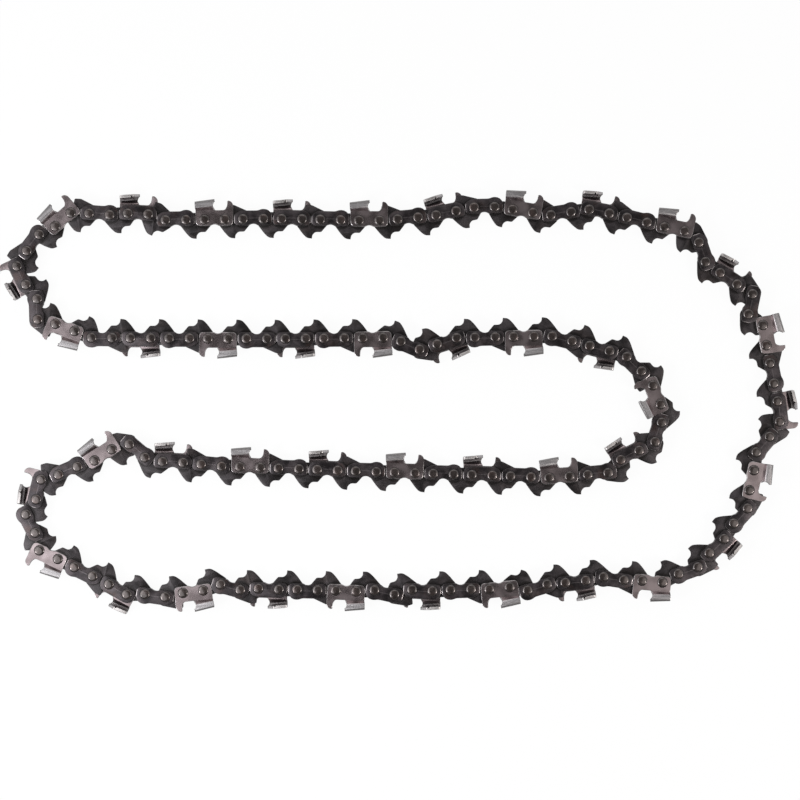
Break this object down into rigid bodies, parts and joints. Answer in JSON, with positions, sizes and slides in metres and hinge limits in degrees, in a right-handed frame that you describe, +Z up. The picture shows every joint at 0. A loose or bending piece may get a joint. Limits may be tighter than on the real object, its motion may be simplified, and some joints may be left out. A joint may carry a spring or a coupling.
{
  "type": "saw chain loop",
  "caption": "Closed loop of chainsaw chain lying flat in loose bends: riveted drive links, tie straps and folded chrome cutters with depth gauges.",
  "frame": {"origin": "middle of the lying loop in plan, at the surface that it lies on", "axes": "+X along the runs towards the wide bend, +Y across the runs, +Z up from the surface, along the rivets"},
  "size_m": [0.3942, 0.2088, 0.0084],
  "materials": {
    "drive_steel": "dark oiled steel",
    "strap_steel": "blued dark steel",
    "cutter_chrome": "satin chrome plate",
    "rivet_steel": "glossy dark steel"
  },
  "bodies": {
    "right_and_inner_bends": {"right_bend_plain_drive_links": "drive_steel", "right_bend_bumper_drive_links": "drive_steel", "right_bend_right_cutters": "cutter_chrome", "right_bend_left_cutters": "cutter_chrome", "right_bend_tie_straps": "strap_steel", "right_bend_cutter_straps": "strap_steel", "right_bend_rivet_heads": "rivet_steel", "inner_bend_plain_drive_links": "drive_steel", "inner_bend_bumper_drive_links": "drive_steel", "inner_bend_right_cutters": "cutter_chrome", "inner_bend_left_cutters": "cutter_chrome", "inner_bend_tie_straps": "strap_steel", "inner_bend_cutter_straps": "strap_steel", "inner_bend_rivet_heads": "rivet_steel"},
    "top_run": {"top_run_plain_drive_links": "drive_steel", "top_run_bumper_drive_links": "drive_steel", "top_run_right_cutters": "cutter_chrome", "top_run_left_cutters": "cutter_chrome", "top_run_tie_straps": "strap_steel", "top_run_cutter_straps": "strap_steel", "top_run_rivet_heads": "rivet_steel"},
    "upper_left_bend": {"upper_left_bend_plain_drive_links": "drive_steel", "upper_left_bend_bumper_drive_links": "drive_steel", "upper_left_bend_right_cutters": "cutter_chrome", "upper_left_bend_left_cutters": "cutter_chrome", "upper_left_bend_tie_straps": "strap_steel", "upper_left_bend_cutter_straps": "strap_steel", "upper_left_bend_rivet_heads": "rivet_steel"},
    "second_run": {"second_run_plain_drive_links": "drive_steel", "second_run_bumper_drive_links": "drive_steel", "second_run_right_cutters": "cutter_chrome", "second_run_left_cutters": "cutter_chrome", "second_run_tie_straps": "strap_steel", "second_run_cutter_straps": "strap_steel", "second_run_rivet_heads": "rivet_steel"},
    "third_run": {"third_run_plain_drive_links": "drive_steel", "third_run_bumper_drive_links": "drive_steel", "third_run_right_cutters": "cutter_chrome", "third_run_left_cutters": "cutter_chrome", "third_run_tie_straps": "strap_steel", "third_run_cutter_straps": "strap_steel", "third_run_rivet_heads": "rivet_steel"},
    "lower_left_bend": {"lower_left_bend_plain_drive_links": "drive_steel", "lower_left_bend_bumper_drive_links": "drive_steel", "lower_left_bend_right_cutters": "cutter_chrome", "lower_left_bend_left_cutters": "cutter_chrome", "lower_left_bend_tie_straps": "strap_steel", "lower_left_bend_cutter_straps": "strap_steel", "lower_left_bend_rivet_heads": "rivet_steel"},
    "bottom_run": {"bottom_run_plain_drive_links": "drive_steel", "bottom_run_bumper_drive_links": "drive_steel", "bottom_run_right_cutters": "cutter_chrome", "bottom_run_left_cutters": "cutter_chrome", "bottom_run_tie_straps": "strap_steel", "bottom_run_cutter_straps": "strap_steel", "bottom_run_rivet_heads": "rivet_steel"}
  },
  "joints": [
    {"name": "upper_lobe_swing", "type": "hinge", "parent": "right_and_inner_bends", "child": "top_run", "pos_m": [0.07492, 0.09217, 0.0042], "axis": [0, 0, -1], "range_deg": [-5, 12]},
    {"name": "upper_end_pivot", "type": "hinge", "parent": "top_run", "child": "upper_left_bend", "pos_m": [-0.14227, 0.09227, 0.0042], "axis": [0, 0, -1], "range_deg": [-12, 5]},
    {"name": "upper_return_pivot", "type": "hinge", "parent": "upper_left_bend", "child": "second_run", "pos_m": [-0.14101, 0.03176, 0.0042], "axis": [0, 0, -1], "range_deg": [-5, 12]},
    {"name": "lower_lobe_swing", "type": "hinge", "parent": "right_and_inner_bends", "child": "third_run", "pos_m": [0.05508, -0.03635, 0.0042], "axis": [0, 0, 1], "range_deg": [-5, 12]},
    {"name": "lower_end_pivot", "type": "hinge", "parent": "third_run", "child": "lower_left_bend", "pos_m": [-0.08714, -0.03151, 0.0042], "axis": [0, 0, 1], "range_deg": [-12, 5]},
    {"name": "lower_return_pivot", "type": "hinge", "parent": "lower_left_bend", "child": "bottom_run", "pos_m": [-0.07794, -0.09233, 0.0042], "axis": [0, 0, 1], "range_deg": [-5, 12]}
  ],
  "couplings": [
    {"joint": "upper_end_pivot", "follows": "upper_lobe_swing", "ratio": -0.98562},
    {"joint": "upper_return_pivot", "follows": "upper_lobe_swing", "ratio": 0.98822},
    {"joint": "lower_end_pivot", "follows": "lower_lobe_swing", "ratio": -0.92387},
    {"joint": "lower_return_pivot", "follows": "lower_lobe_swing", "ratio": 0.92458}
  ]
}
